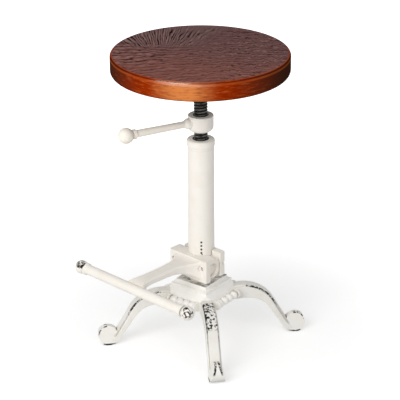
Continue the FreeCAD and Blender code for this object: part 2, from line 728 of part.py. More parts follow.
primitive(collar, "AdditiveCone",
          {"Radius1": "boss_dia / 2", "Radius2": "boss_dia / 2 - boss_draft",
           "Height": "boss_flat - boss_start"},
          ("0", "-boss_start", LEVER_HEIGHT), -ALONG_Y)
primitive(collar, "AdditiveCone",
          {"Radius1": "boss_dia / 2 - boss_draft", "Radius2": "rod_root_dia / 2",
           "Height": "boss_reach - boss_flat"},
          ("0", "-boss_flat", LEVER_HEIGHT), -ALONG_Y)
primitive(collar, "SubtractiveCylinder",
          {"Radius": "rod_spigot_dia / 2 + press_gap", "Height": "rod_spigot_long + drill_over"},
          ("0", "-boss_reach + rod_spigot_long + drill_over", LEVER_HEIGHT), -ALONG_Y)
lay(collar, turn="lever_turned")

# Lever rod and ball
NECK_END = "(ball_reach - ball_dia / 2 + neck_sink)"
NECK_START = f"({NECK_END} - neck_wide)"
rod = keep(turned("lever_rod", [
    ("0", "boss_reach - rod_spigot_long"), ("rod_spigot_dia / 2", "boss_reach - rod_spigot_long"),
    ("rod_spigot_dia / 2", "boss_reach"), ("rod_root_dia / 2", "boss_reach"), ("rod_tip_dia / 2", NECK_START),
    ("rod_spigot_dia / 2", NECK_START), ("rod_spigot_dia / 2", f"{NECK_START} + rod_spigot_long"),
    ("0", f"{NECK_START} + rod_spigot_long")]))
lay(rod, ("0", "0", LEVER_HEIGHT), -ALONG_Y, "lever_turned")


def ball_end(label, ring, start, end, chamfer, ball, middle, bore, bore_end):
    """A ball with a bevelled neck ring and a blind bore from the ring's side, turned about Z."""
    cut = f"sqrt({ball} * {ball} / 4 - ({middle} - {end}) * ({middle} - {end}))"
    return turned(label, [
        (bore, start), (f"{ring} / 2 - {chamfer}", start), (f"{ring} / 2", f"{start} + {chamfer}"),
        (f"{ring} / 2", f"{end} - {chamfer}"), (f"{ring} / 2 - {chamfer}", end), (cut, end),
        ("0", f"{middle} + {ball} / 2", f"{ball} / 2", -1), ("0", bore_end), (bore, bore_end)])


ball = keep(ball_end("lever_ball", "neck_dia", NECK_START, NECK_END, "neck_chamfer", "ball_dia", "ball_reach",
                     "rod_spigot_dia / 2 + press_gap", f"{NECK_START} + rod_spigot_long + drill_over"))
lay(ball, ("0", "0", LEVER_HEIGHT), -ALONG_Y, "lever_turned")

# Footrest arm: the clamp's front half, with a cast arm that flares at both ends
arm = keep(new_body("footrest_arm"))


def box_outline(body, half, low, high, lift):
    return outline(body, "XZ_Plane", [(f"-{half}", low), (half, low), (half, high), (f"-{half}", high)], lift)


CLAMP_HALF = "(clamp_width / 2)"
PLATE_BACK = "(clamp_face - clamp_plate)"
pad(arm, box_outline(arm, CLAMP_HALF, "cheek_low", "clamp_high", "split_half"), f"{PLATE_BACK} - split_half")
pad(arm, box_outline(arm, CLAMP_HALF, "clamp_low", "clamp_high", PLATE_BACK), "clamp_plate")
soften(arm, "clamp_round",
       lambda edge: upright(edge) and edge.BoundBox.YMax < -value("clamp_face") + TOLERANCE)
soften(arm, "cheek_round", lambda edge: edge.BoundBox.XLength > value("clamp_width") - TOLERANCE
       and edge.BoundBox.YMin > -value("split_half") - TOLERANCE)
RECESS_LOW = "(cheek_low + cheek_low_band)"
RECESS_HIGH = "(clamp_high - cheek_top_band)"
RECESS_ROUND = f"(({RECESS_HIGH} - {RECESS_LOW}) / 2)"
RECESS_MIDDLE = f"-(split_half + cheek_rim + {RECESS_ROUND})"
for side in ("", "-"):
    recess = outline(arm, "YZ_Plane", [
        (f"-{PLATE_BACK}", RECESS_LOW), (RECESS_MIDDLE, RECESS_LOW),
        (RECESS_MIDDLE, RECESS_HIGH, f"{RECESS_ROUND} * 1.001", -1), (f"-{PLATE_BACK}", RECESS_HIGH)],
        f"{side}({CLAMP_HALF} - cheek_recess)")
    pocket(arm, recess, "cheek_recess * 2", reverse=not side)


def arm_section(reach, half, low, high):
    """A bevelled box section across the arm at a reach from the axis."""
    bevel = "arm_bevel"
    return outline(arm, "XZ_Plane", [
        (f"-{half} + {bevel}", low), (f"{half} - {bevel}", low), (half, f"{low} + {bevel}"),
        (half, f"{high} - {bevel}"), (f"{half} - {bevel}", high), (f"-{half} + {bevel}", high),
        (f"-{half}", f"{high} - {bevel}"), (f"-{half}", f"{low} + {bevel}")], reach)


ARM_LOW = "(arm_top - arm_deep)"
flare = arm_section("clamp_face - drill_over", "(arm_half + root_spread)", "(clamp_low + root_margin)",
                    "(clamp_high - root_margin)")
sections = [
    arm_section("clamp_face + neck_out", "(arm_half + neck_spread)", f"({ARM_LOW} - neck_deep)", "arm_top"),
    arm_section("clamp_face + waist_out", "(arm_half + waist_spread)", f"({ARM_LOW} - waist_deep)",
                "arm_top"),
    arm_section("clamp_face + slim_out", "arm_half", ARM_LOW, "arm_top"),
    arm_section("bar_reach - bar_dia - grip_start", "arm_half", ARM_LOW, "arm_top"),
    arm_section("bar_reach - bar_dia / 2 + grip_cover", "(arm_half + grip_spread)",
                "(bar_height - bar_dia / 2 + grip_low)", "(bar_height + bar_dia / 2)")]
loft = arm.newObject("PartDesign::AdditiveLoft", "footrest_arm_loft")
loft.Profile = flare
loft.Sections = sections
doc.recompute()
primitive(arm, "SubtractiveCylinder", {"Radius": "bar_dia / 2 + press_gap", "Height": "clamp_width * 2"},
          ("-clamp_width", "-bar_reach", "bar_height"), ALONG_X)
primitive(arm, "SubtractiveCylinder", {"Radius": "tube_dia / 2 + running_fit", "Height": "clamp_high"},
          ("0", "0", "0.5 * clamp_low"))
for side in ("", "-"):
    place = f"{side}clamp_bolt_span / 2"
    primitive(arm, "SubtractiveCylinder",
              {"Radius": "clamp_bolt_dia / 2 + running_fit", "Height": "clamp_face * 2"},
              (place, "-clamp_face", "clamp_bolt_height"), ALONG_Y)
    primitive(arm, "SubtractiveCylinder",
              {"Radius": "clamp_head_dia / 2 + running_fit", "Height": "clamp_head_tall + cut_over"},
              (place, "-clamp_face - cut_over", "clamp_bolt_height"), ALONG_Y)
lay(arm, turn="footrest_turned")

# Rear jaw of the clamp: a flat strap with a hump round the tube and a taller lug at its right end
jaw = keep(new_body("clamp_jaw"))
JAW_BACK = "(split_half + jaw_thick)"
NUT_SEAT = f"({JAW_BACK} - clamp_washer_thick - clamp_nut_tall - clamp_bolt_end)"
HUMP = "(tube_dia / 2 + jaw_wall)"
pad(jaw, outline(jaw, "XY_Plane", [
    (f"-{CLAMP_HALF}", "split_half"), (CLAMP_HALF, "split_half"), (CLAMP_HALF, JAW_BACK),
    (f"sqrt({HUMP} * {HUMP} - {JAW_BACK} * {JAW_BACK})", JAW_BACK),
    (f"-sqrt({HUMP} * {HUMP} - {JAW_BACK} * {JAW_BACK})", JAW_BACK, HUMP, -1),
    (f"-{CLAMP_HALF}", JAW_BACK)], "jaw_low"), "jaw_high - jaw_low")
pad(jaw, outline(jaw, "XY_Plane", [
    ("lug_start", "split_half"), (CLAMP_HALF, "split_half"), (CLAMP_HALF, JAW_BACK), ("lug_start", JAW_BACK)],
    "jaw_high"), "lug_high - jaw_high")
soften(jaw, "clamp_round",
       lambda edge: upright(edge) and abs(edge.BoundBox.XMin) > value(CLAMP_HALF) - TOLERANCE)
primitive(jaw, "SubtractiveCylinder", {"Radius": "tube_dia / 2 + running_fit", "Height": "jaw_high"},
          ("0", "0", "0.5 * jaw_low"))
for side in ("", "-"):
    primitive(jaw, "SubtractiveCylinder",
              {"Radius": "clamp_bolt_dia / 2 + running_fit", "Height": "jaw_thick * 3"},
              (f"{side}clamp_bolt_span / 2", "-jaw_thick", "clamp_bolt_height"), ALONG_Y)
    primitive(jaw, "SubtractiveCylinder", {"Radius": "nut_pocket_dia / 2", "Height": "cut_over"},
              (f"{side}clamp_bolt_span / 2", NUT_SEAT, "clamp_bolt_height"), ALONG_Y)
lay(jaw, turn="footrest_turned")

# Clamp bolts, with washers and nuts sunk in the rear jaw
bolts, washers, nuts = [], [], []
CLAMP_BOLT_LONG = f"(clamp_face + {JAW_BACK})"
for number, side in enumerate(("", "-")):
    across = f"{side}clamp_bolt_span / 2"
    bolt = turned(f"clamp_bolt_{number}", [
        ("0", "0"), ("clamp_head_dia / 2", "0"), ("clamp_head_dia / 2", "clamp_head_tall"),
        ("clamp_bolt_dia / 2", "clamp_head_tall"), ("clamp_bolt_dia / 2", CLAMP_BOLT_LONG),
        ("0", CLAMP_BOLT_LONG)])
    pocket(bolt, outline(bolt, "XY_Plane", hexagon("clamp_socket_wide")), "clamp_socket_deep", reverse=True)
    lay(bolt, (across, "-clamp_face", "clamp_bolt_height"), ALONG_Y, "footrest_turned")
    bolts.append(bolt)
    washer = turned(f"clamp_washer_{number}", [
        ("clamp_bolt_dia / 2 + running_fit", "0"), ("clamp_washer_dia / 2", "0"),
        ("clamp_washer_dia / 2", "clamp_washer_thick"),
        ("clamp_bolt_dia / 2 + running_fit", "clamp_washer_thick")])
    lay(washer, (across, NUT_SEAT, "clamp_bolt_height"), ALONG_Y, "footrest_turned")
    washers.append(washer)
    nut = new_body(f"clamp_nut_{number}")
    pad(nut, outline(nut, "XY_Plane", hexagon("clamp_nut_wide")), "clamp_nut_tall")
    primitive(nut, "SubtractiveCylinder",
              {"Radius": "clamp_bolt_dia / 2 + press_gap", "Height": "clamp_nut_tall * 3"},
              ("0", "0", "-clamp_nut_tall"))
    lay(nut, (across, f"{NUT_SEAT} + clamp_washer_thick", "clamp_bolt_height"), ALONG_Y, "footrest_turned")
    nuts.append(nut)
keep(group("clamp_bolts", bolts))
keep(group("clamp_washers", washers))
keep(group("clamp_nuts", nuts))

# Footrest bar between its two ball ends
RING_END = "(bar_ball_span / 2 - bar_ball_dia / 2 + bar_ring_sink)"
RING_START = f"({RING_END} - bar_ring_wide)"
SPIGOT_END = f"({RING_START} + bar_spigot_long)"
bar = keep(turned("foot_bar", [
    ("0", f"-{SPIGOT_END}"), ("bar_spigot_dia / 2", f"-{SPIGOT_END}"),
    ("bar_spigot_dia / 2", f"-{RING_START}"),
    ("bar_dia / 2", f"-{RING_START}"), ("bar_dia / 2", RING_START), ("bar_spigot_dia / 2", RING_START),
    ("bar_spigot_dia / 2", SPIGOT_END), ("0", SPIGOT_END)]))
lay(bar, ("0", "-bar_reach", "bar_height"), ALONG_X, "footrest_turned")
for label, direction in (("bar_ball_right", ALONG_X), ("bar_ball_left", -ALONG_X)):
    end_ball = keep(ball_end(
        label, "bar_ring_dia", RING_START, RING_END, "bar_ring_chamfer", "bar_ball_dia", "bar_ball_span / 2",
        "bar_spigot_dia / 2 + press_gap", f"{SPIGOT_END} + drill_over"))
    lay(end_ball, ("0", "-bar_reach", "bar_height"), direction, "footrest_turned")

doc.recompute()
for item in doc.Objects:
    failed = [state for state in item.State if state in ("Invalid", "Error")]
    if failed:
        raise RuntimeError(f"{item.Label} did not build: {failed}")
for node in NODES:
    if node.Shape.isNull() or not node.Shape.isValid():
        raise RuntimeError(f"{node.Label} has no valid shape")

os.makedirs("parts", exist_ok=True)
for node in NODES:
    node.Shape.exportStep(os.path.join("parts", node.Label + ".step"))
    print(node.Label, len(node.Shape.Solids), "solids", round(node.Shape.Volume), "mm3")
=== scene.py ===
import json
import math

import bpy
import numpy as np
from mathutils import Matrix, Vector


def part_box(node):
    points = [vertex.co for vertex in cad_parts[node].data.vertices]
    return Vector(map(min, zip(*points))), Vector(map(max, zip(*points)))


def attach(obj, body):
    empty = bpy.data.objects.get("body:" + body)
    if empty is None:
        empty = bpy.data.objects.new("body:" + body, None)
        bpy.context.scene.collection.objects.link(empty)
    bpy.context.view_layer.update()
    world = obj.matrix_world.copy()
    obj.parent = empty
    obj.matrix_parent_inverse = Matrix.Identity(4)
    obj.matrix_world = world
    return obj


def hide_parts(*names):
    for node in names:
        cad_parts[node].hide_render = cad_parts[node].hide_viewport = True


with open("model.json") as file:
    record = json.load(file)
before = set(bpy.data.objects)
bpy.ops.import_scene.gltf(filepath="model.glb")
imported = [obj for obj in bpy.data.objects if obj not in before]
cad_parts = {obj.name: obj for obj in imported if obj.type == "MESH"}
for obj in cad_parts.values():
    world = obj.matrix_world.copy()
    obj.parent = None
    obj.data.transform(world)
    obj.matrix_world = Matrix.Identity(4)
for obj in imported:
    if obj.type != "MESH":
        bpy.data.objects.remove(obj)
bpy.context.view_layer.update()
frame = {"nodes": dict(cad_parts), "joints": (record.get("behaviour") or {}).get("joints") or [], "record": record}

# %% [markdown]
# # A worn swivel counter stool
# The solids come from the CAD frame that the line above loads: every casting, bolt and bar already has its
# true size and place. What Blender adds here is the look. There is a real helical thread on the screw, cream
# paint that has worn through to black iron, a rippled wooden seat, and the light and camera of the
# photograph.

joints = {joint["name"]: joint for joint in frame["joints"]}
STOOL_AXIS = np.array([*joints["seat_turn"]["pos_m"][:2], 0.0])
MM = 0.001

# %% [markdown]
# ## The camera
# A photograph fixes its own camera. The seat's two rims, the upright column and the toes on the floor give
# the focal length, the height and the tilt, so the camera is written here as measured: its three axes become
# the columns of a matrix. Looking at a target with a constraint would be shorter, but it would lose the
# slight roll.

# %% Camera
FOCAL_PIXELS, IMAGE_PIXELS, SENSOR = 1771.5, 400, 36.0
CAMERA_DISTANCE, CAMERA_HEIGHT = 3.3015, 1.7306
CAMERA_AZIMUTH, CAMERA_PITCH, CAMERA_ROLL = math.radians(36.4), 0.407, math.radians(0.3)
AXIS_RIGHT_OF_MIDDLE = 1.1

toward = np.array([math.sin(CAMERA_AZIMUTH), -math.cos(CAMERA_AZIMUTH), 0.0])
forward = -toward * math.cos(CAMERA_PITCH) - np.array([0, 0, math.sin(CAMERA_PITCH)])
right = np.array([math.cos(CAMERA_AZIMUTH), math.sin(CAMERA_AZIMUTH), 0.0])
upward = np.cross(right, forward)
rolled_right = right * math.cos(CAMERA_ROLL) - upward * math.sin(CAMERA_ROLL)
rolled_up = right * math.sin(CAMERA_ROLL) + upward * math.cos(CAMERA_ROLL)

camera_data = bpy.data.cameras.new("camera")
camera_data.sensor_width = SENSOR
camera_data.lens = FOCAL_PIXELS / IMAGE_PIXELS * SENSOR
camera_data.shift_x = -AXIS_RIGHT_OF_MIDDLE / IMAGE_PIXELS
camera = bpy.data.objects.new("camera", camera_data)
bpy.context.scene.collection.objects.link(camera)
camera_place = STOOL_AXIS + toward * CAMERA_DISTANCE + np.array([0, 0, CAMERA_HEIGHT])
turn = np.eye(4)
turn[:3, :3] = np.column_stack([rolled_right, rolled_up, -forward])
turn[:3, 3] = camera_place
camera.matrix_world = Matrix(turn.tolist())
bpy.context.scene.camera = camera
print("lens", round(camera_data.lens, 1), "mm, camera at", camera_place.round(3))

# %% [markdown]
# ## Writing shaders as arithmetic
# A material is a graph of nodes, and sums drawn as nodes are hard to read. The class below wraps one output
# socket. Adding or multiplying wrapped sockets adds the Math nodes, so `1 - chips * 0.5` means what it says.
# Every other node comes from its one method, `node`, which takes the node's kind, its settings and what goes
# into its sockets.

# %% The socket wrapper
class Flow:
    """A shader value on its way from one node to the next."""

    def __init__(self, tree, socket):
        self.tree, self.socket = tree, socket

    def node(self, kind, settings=None, inputs=None, output=0):
        """Add a node of a kind, set it up, fill its sockets and give back one of its outputs."""
        made = self.tree.nodes.new("ShaderNode" + kind)
        for name, setting in (settings or {}).items():
            setattr(made, name, setting)
        for name, value in (inputs or {}).items():
            if isinstance(value, Flow):
                self.tree.links.new(value.socket, made.inputs[name])
            else:
                made.inputs[name].default_value = value
        return Flow(self.tree, made.outputs[output])

    def math(self, operation, first, second=0.0):
        """A Math node on one or two values."""
        return self.node("Math", {"operation": operation}, {0: first, 1: second})

    def __add__(self, other):
        return self.math("ADD", self, other)

    def __sub__(self, other):
        return self.math("SUBTRACT", self, other)

    def __rsub__(self, other):
        return self.math("SUBTRACT", other, self)

    def __mul__(self, other):
        return self.math("MULTIPLY", self, other)

    def __truediv__(self, other):
        return self.math("DIVIDE", self, other)

    def __pow__(self, other):
        return self.math("POWER", self, other)

    def __abs__(self):
        return self.math("ABSOLUTE", self)

    def __or__(self, other):
        """The larger of two masks."""
        return self.math("MAXIMUM", self, other)

    __radd__, __rmul__ = __add__, __mul__

    def smooth(self, low, high):
        """0 below low, 1 above high and an S curve between them; low may be the larger."""
        return self.node("MapRange", {"interpolation_type": "SMOOTHSTEP"},
                         {"Value": self, "From Min": low, "From Max": high})

    def near(self, centre, width):
        """1 round a value, falling to 0 at a width from it; the inner two fifths are flat."""
        return abs(self - centre).smooth(width, width * 0.4)

    def between(self, low, high, fade):
        """1 from low to high, with a slope of a given length inside each end."""
        return self.smooth(low, low + fade) * self.smooth(high, high - fade)

    def mix(self, under, over):
        """A colour: under where this mask is 0, over where it is 1."""
        return self.node("Mix", {"data_type": "RGBA"}, {0: self, 6: under, 7: over}, 2)

    def noise(self, scale, detail=3.0, roughness=0.5, distortion=0.0):
        """Fractal noise from 0 to 1 at a point, its scale in waves to the metre."""
        return self.node("TexNoise", None, {"Vector": self, "Scale": scale, "Detail": detail,
                                            "Roughness": roughness, "Distortion": distortion})

    def split(self):
        """The three coordinates of a point."""
        parts = self.node("SeparateXYZ", None, {0: self}).socket.node
        return [Flow(self.tree, socket) for socket in parts.outputs]

    def join(self, x, y, z=0.0):
        """A point from three coordinates."""
        return self.node("CombineXYZ", None, {0: x, 1: y, 2: z})


print("a flow can:", ", ".join(name for name in vars(Flow) if not name.startswith("_")))

# %% [markdown]
# ## Colours and finishes
# Every finish below starts the same way: a fresh material, and the point that is being shaded, measured from
# the stool's axis. UV maps would do as well, but the CAD solids have none, while Object coordinates are there
# already and stay with a piece when a joint moves it. Much of the wear faces the viewer, so one helper turns
# that point to the camera's right, near and up.

# %% Colours, materials and how pieces get them
def tone(red, green, blue):
    """A colour as picked from a screen, 0 to 255, in the linear values that a shader mixes."""
    picked = np.array([red, green, blue]) / 255
    linear = np.where(picked <= 0.04045, picked / 12.92, ((picked + 0.055) / 1.055) ** 2.4)
    return (*linear.tolist(), 1.0)


def new_finish(name):
    """A fresh material: itself, its shader, and the point that is shaded, measured from the stool's axis."""
    material = bpy.data.materials.new(name)
    material.use_nodes = True
    tree = material.node_tree
    place = Flow(tree, None).node("TexCoord", output="Object")
    place = place.node("Mapping", None, {"Vector": place, "Location": (-STOOL_AXIS).tolist()})
    return material, tree.nodes["Principled BSDF"], place


def feed(shader, **sockets):
    """Link flows to a shader's sockets, or set plain numbers on them; underscores stand for spaces."""
    for name, value in sockets.items():
        socket = shader.inputs[name.replace("_", " ")]
        if isinstance(value, Flow):
            value.tree.links.new(value.socket, socket)
        else:
            socket.default_value = value


def dress(material, *pieces):
    """Give CAD nodes, by name, or new pieces one material."""
    for piece in pieces:
        target = frame["nodes"][piece] if isinstance(piece, str) else piece
        target.data.materials.clear()
        target.data.materials.append(material)


def seen_from_camera(place):
    """A point's distance to the camera's right of the stool's axis, towards the camera, and up."""
    east, north, up = place.split()
    across = east * right[0] + north * right[1]
    near_side = east * toward[0] + north * toward[1]
    return across, near_side, up


print("a screen's middle grey is", round(tone(128, 128, 128)[0], 3), "in linear light")

# %% [markdown]
# ## Worn cream paint
# The castings were painted cream over black and then rubbed, so that black shows on ridges, and the corners are
# darkened towards a grime colour: painted shade, with some real grime. Painting that by hand would need an image.
# Here a mask says where a hand or a boot would rub, from the point's own place on the stool, and noise breaks the
# mask into chips. The painted shade in the corners comes from the Ambient Occlusion node, kept to the piece's own
# surface so that it stays put when a joint moves.

# %% Cream paint
CREAM, WARM_CREAM, COOL_WHITE = tone(242, 237, 229), tone(246, 239, 228), tone(240, 238, 232)
AGED, CORNER_SHADE_GRIME, BARE_IRON = tone(228, 219, 203), tone(122, 108, 88), tone(16, 15, 14)
MOTTLE_WAVES, SPECK_WAVES, PINHOLE_WAVES = 34.0, 380.0, 900.0
CORNER_REACH, PAINT_RELIEF = 9 * MM, 0.6 * MM


def cream_paint(name, paint, wear=None, corner_shade=0.6):
    """Brushed paint with faint mottling, painted shade in the corners in a dirty brown-grey, and chips where wear
    is high; wear takes the shaded point and gives a mask from 0 to 1."""
    material, shader, place = new_finish(name)
    mottle = place.noise(MOTTLE_WAVES, 4.0, 0.6)
    speck = place.noise(SPECK_WAVES, 3.0, 0.6)
    corner = place.node("AmbientOcclusion", {"samples": 12, "only_local": True}, {"Distance": CORNER_REACH}, 1)
    # painted shade: the corners that the Ambient Occlusion node finds darken towards a grime colour
    corner_shade_and_grime = (1 - corner).smooth(0.3, 0.9) * (0.45 + mottle * 0.9) * corner_shade
    colour = (mottle.smooth(0.4, 0.75) * 0.3).mix(paint, AGED)
    colour = corner_shade_and_grime.mix(colour, CORNER_SHADE_GRIME)
    pinhole = place.noise(PINHOLE_WAVES, 2.0, 0.5).smooth(0.74, 0.8) * mottle.smooth(0.52, 0.6)
    chips = pinhole * 0.7
    if wear:
        chips = chips | wear(place)
    colour = chips.mix(colour, BARE_IRON)
    height = speck * 0.3 + mottle * 0.5 - chips * 1.5
    bump = place.node("Bump", None, {"Strength": 0.3, "Distance": PAINT_RELIEF, "Height": height})
    feed(shader, Base_Color=colour, Roughness=0.4 + mottle * 0.2 + chips * 0.1, Normal=bump,
         Specular_IOR_Level=0.35)
    return material


castings = ["column_cap", "lock_collar", "footrest_arm", "clamp_jaw", "foot_bar"]
dress(cream_paint("cream_paint", CREAM), *castings)
dress(cream_paint("lever_paint", WARM_CREAM, None, 0.7), "lever_rod", "lever_ball")
dress(cream_paint("bolt_paint", CREAM, None, 0.2), "clamp_bolts", "clamp_washers", "clamp_nuts")
print("cream paint on", len(castings), "castings, the lever and the clamp's bolts")

# %% [markdown]
# ## Chips on the column
# A row of four chips runs down the column's front, one above the other, just over the clamp, and two faint
# rings from the lathe show under the cap. Chips could be scattered by noise alone, but then they would land
# anywhere. Their places are measured, so they are written as a start and a step, and noise only frays them.

# %% Column paint
CHIP_TOP, CHIP_STEP, CHIP_COUNT = 225 * MM, 7.9 * MM, 4
CHIP_HALF_TALL, CHIP_HALF_WIDE, CHIP_FRAY = 2.9 * MM, 2.6 * MM, 2 * MM
TUBE_TOP, RING_STEP, RING_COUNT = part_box("column_tube")[1].z, 4 * MM, 2


def column_chips(place):
    """Chips where the height is near a step of the row and the distance aside is near 0, both shifted by
    noise, on the camera's side alone; a tail below the last chip; faint rings at fixed heights."""
    across, near_side, up = seen_from_camera(place)
    ragged = (place.noise(420.0) - 0.5) * CHIP_FRAY
    frayed_up, frayed_across = up + ragged, across + ragged
    row, rings = 0.0, 0.0
    for number in range(CHIP_COUNT):
        row = frayed_up.near(CHIP_TOP - CHIP_STEP * number, CHIP_HALF_TALL) + row
    for number in range(RING_COUNT):
        rings = up.near(TUBE_TOP - RING_STEP * (number + 0.2), 1 * MM) + rings
    row = row * frayed_across.near(0, CHIP_HALF_WIDE)
    tail = frayed_up.near(CHIP_TOP - CHIP_STEP * (CHIP_COUNT - 0.5), 3 * MM)
    tail = tail * frayed_across.near(1.5 * MM, 1.5 * MM)
    return (row | tail) * near_side.smooth(0, 5 * MM) + rings * 0.08


dress(cream_paint("column_paint", CREAM, column_chips), "column_tube")
print(CHIP_COUNT, "chips on the column, the top one at", round(CHIP_TOP / MM), "mm")

# %% [markdown]
# ## The footrest's balls
# The balls at the ends of the bar are kicked all day. On the right one the paint has crazed, and on the left
# one a patch has gone. Both are wear within a reach of one spot on the ball. The crazing uses the contour
# lines of a noise, where its value passes one half: they wander and close on themselves as cracks do, which
# lines drawn one by one would not.

# %% Ball paint
BALL_RADIUS, FRAYED_EDGE = 14 * MM, 9 * MM
RIGHT_REACH, LEFT_REACH = 13 * MM, 12 * MM


def ball_spot(node, side, height):
    """The point of a footrest ball that looks towards the camera, moved aside and up: the ball's middle plus
    its radius times that direction."""
    low, high = (np.array(corner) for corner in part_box(node))
    outward = toward + right * side + np.array([0, 0, height])
    return (low + high) / 2 - STOOL_AXIS + outward / np.linalg.norm(outward) * BALL_RADIUS


def scuffed_spot(spot, reach, lines):
    """Wear round a spot on a ball: crack lines where lines is 1, a patch with ragged edges where it is 0."""
    def wear(place):
        offset = place.node("VectorMath", {"operation": "DISTANCE"}, {0: place, 1: tuple(spot)}, 1)
        noise = place.noise(210.0, 3.0, 0.6, 0.4)
        inside = (offset + (noise - 0.5) * FRAYED_EDGE).smooth(reach, reach * 0.8)
        crack = place.noise(92.0, 1.0, 0.5, 0.8).near(0.5, 0.09)
        return inside * (crack * lines | noise.smooth(0.46, 0.5) * (1 - lines))
    return wear


crazed = scuffed_spot(ball_spot("bar_ball_right", 0.1, 0.5), RIGHT_REACH, 1)
scraped = scuffed_spot(ball_spot("bar_ball_left", -0.6, 1.7), LEFT_REACH, 0)
dress(cream_paint("right_ball_paint", CREAM, crazed), "bar_ball_right")
dress(cream_paint("left_ball_paint", CREAM, scraped), "bar_ball_left")
print("scuffs reach", round(RIGHT_REACH / MM), "and", round(LEFT_REACH / MM), "mm on the two balls")

# %% [markdown]
# ## Rubbed legs
# Boots rub the legs along the edges of their ribs and on the toes, and the front knee most of all. Vertex
# colours could hold that, but the solids' triangles are too coarse for it. Each leg lies in its own upright
# plane through the stool's axis, at 45 degrees to the sides, so one formula serves all four: |x| + |y| over
# the root of two is the reach along a leg, and | |x| - |y| | over the root of two is the distance aside from
# its middle. Edges, ridges and soles are then strips in these two measures and the height.

# %% Leg paint
SCROLL_REACH, SCROLL_HEIGHT, SCROLL_RADIUS = 197.5 * MM, 19.5 * MM, 20 * MM
KNEE_REACH, SHIN_REACH, TOE_REACH = 80 * MM, 145 * MM, 190 * MM
RIB_ASIDE, RIDGE_ASIDE, TOE_TAPER = 10.9 * MM, 14.6 * MM, 0.278


def leg_wear_and_shade(place):
    """The largest of six masks: broken black along the ribs' edges, patches on the front knee, a stripe on that
    knee's left edge, black on the toes' ridges, black soles that are a painted contact shadow, and a thin grey
    line beside the ribs that is painted shade along their steps, with some soiling."""
    east, north, up = place.split()
    reach = (abs(east) + abs(north)) * math.sqrt(0.5)
    aside = abs(abs(east) - abs(north)) * math.sqrt(0.5)
    front = (east - north).smooth(50 * MM, 80 * MM)
    left_half = (east + north).smooth(2 * MM, -2 * MM)
    coarse, fine = place.noise(70.0, 4.0, 0.7), place.noise(190.0, 3.0, 0.6)

    rib = aside.near(RIB_ASIDE, 1.3 * MM) * reach.smooth(KNEE_REACH, KNEE_REACH + 8 * MM)
    rib = rib * reach.smooth(SHIN_REACH + 25 * MM, SHIN_REACH)
    ribs = rib * (coarse * 0.7 + fine).smooth(0.8, 0.87)
    knee = front * reach.between(KNEE_REACH + 2 * MM, SHIN_REACH + 2 * MM, 4 * MM)
    patches = knee * aside.smooth(12 * MM, 11 * MM) * (fine + left_half * 0.05).smooth(0.54, 0.57)
    edge = aside.near(10.4 * MM, 2.2 * MM) * front * left_half * reach.smooth(KNEE_REACH, KNEE_REACH + 10 * MM)
    stripe = edge * reach.smooth(SHIN_REACH + 5 * MM, SHIN_REACH - 15 * MM) * fine.smooth(0.4, 0.46)
    # painted shade and grime: a thin grey line along the ribs' steps
    rib_step_shade = aside.near(RIB_ASIDE, 1 * MM) * reach.between(KNEE_REACH + 8 * MM, TOE_REACH - 2 * MM, 8 * MM)

    out, over = reach - SCROLL_REACH, up - SCROLL_HEIGHT
    off_axle = (out * out + over * over) ** 0.5
    skin = off_axle.smooth(SCROLL_RADIUS - 2.4 * MM, SCROLL_RADIUS - 1.6 * MM)
    skin = skin * reach.smooth(TOE_REACH, TOE_REACH + 5 * MM)
    ridge = (aside + up * TOE_TAPER).near(RIDGE_ASIDE, 3.4 * MM) * skin * up.smooth(18 * MM, 24 * MM)
    toes = ridge * (fine + front * 0.12 + coarse * 0.3).smooth(0.66, 0.7)
    # painted contact shadow: the lowest few millimetres of each sole turn black
    sole_contact_shadow = (up + (fine - 0.5) * 5 * MM).smooth(3.6 * MM, 2.4 * MM)
    return ribs | patches | stripe | toes | sole_contact_shadow | rib_step_shade * (0.12 + coarse * 0.4)


leg_paint = cream_paint("leg_paint", COOL_WHITE, leg_wear_and_shade, 0.8)
dress(leg_paint, "leg_front_right", "leg_back_right", "leg_back_left", "leg_front_left")
print("legs rubbed from reach", round(KNEE_REACH / MM), "to", round(SHIN_REACH / MM) + 25, "mm")

# %% [markdown]
# ## The plinth's dark platform and chipped beads
# The plinth's platform, under the clamp, is darkened in blots: painted shade from the clamp, and dirt. The four
# beads of each rail have lost their paint in spots. The darkening could be a second material on the top faces, but
# it would end in a hard line there. A mask from the height fades instead.

# %% Plinth paint
plinth_low, plinth_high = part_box("base_plinth")
# painted light: the plinth's white is lighter than the other castings' cream, to lift the shade that the arm and
# bar cast on it
SHADE_LIFTING_WHITE, BEAD_TOP = tone(254, 252, 247), 112 * MM


def plinth_spots_and_shade(place):
    """Blots of painted shade under the clamp and dirty patches where the height is that of the platform, and dark
    spots where it is that of the rails' beads.
    """
    up = place.split()[2]
    blot = place.noise(48.0, 4.0, 0.6)
    # painted shade and dirt: dark blots on the platform's top, under the clamp
    top = up.smooth(plinth_high.z - 1.5 * MM, plinth_high.z) * blot.smooth(0.4, 0.66) * 0.7
    beads = place.noise(160.0, 3.0, 0.7).smooth(0.68, 0.72) * up.smooth(BEAD_TOP, BEAD_TOP - 4 * MM)
    return top | beads * 0.6


dress(cream_paint("plinth_paint", SHADE_LIFTING_WHITE, plinth_spots_and_shade, 0.6), "base_plinth")
print("plinth from", round(plinth_low.z, 3), "to", round(plinth_high.z, 3))

# %% [markdown]
# ## Oiled black iron and dull bolts
# The nuts on the screw are bare iron under oil, and the hidden bolts are dull zinc. Both are metals with
# uneven gloss, so one function makes them, and only the colours and the gloss differ. Two copies of the same
# graph would be longer and would drift apart.

# %% Iron and zinc
def plain_metal(name, colour, darker, roughness, metallic):
    """A metal with patches of a darker tone, and a gloss that follows the patches."""
    material, shader, place = new_finish(name)
    patch = place.noise(160.0, 4.0, 0.6)
    scratch = place.node("Bump", None, {"Strength": 0.2, "Distance": 0.3 * MM, "Height": place.noise(700.0)})
    feed(shader, Base_Color=patch.smooth(0.3, 0.75).mix(colour, darker), Metallic=metallic,
         Roughness=roughness + patch * 0.2, Normal=scratch)
    return material


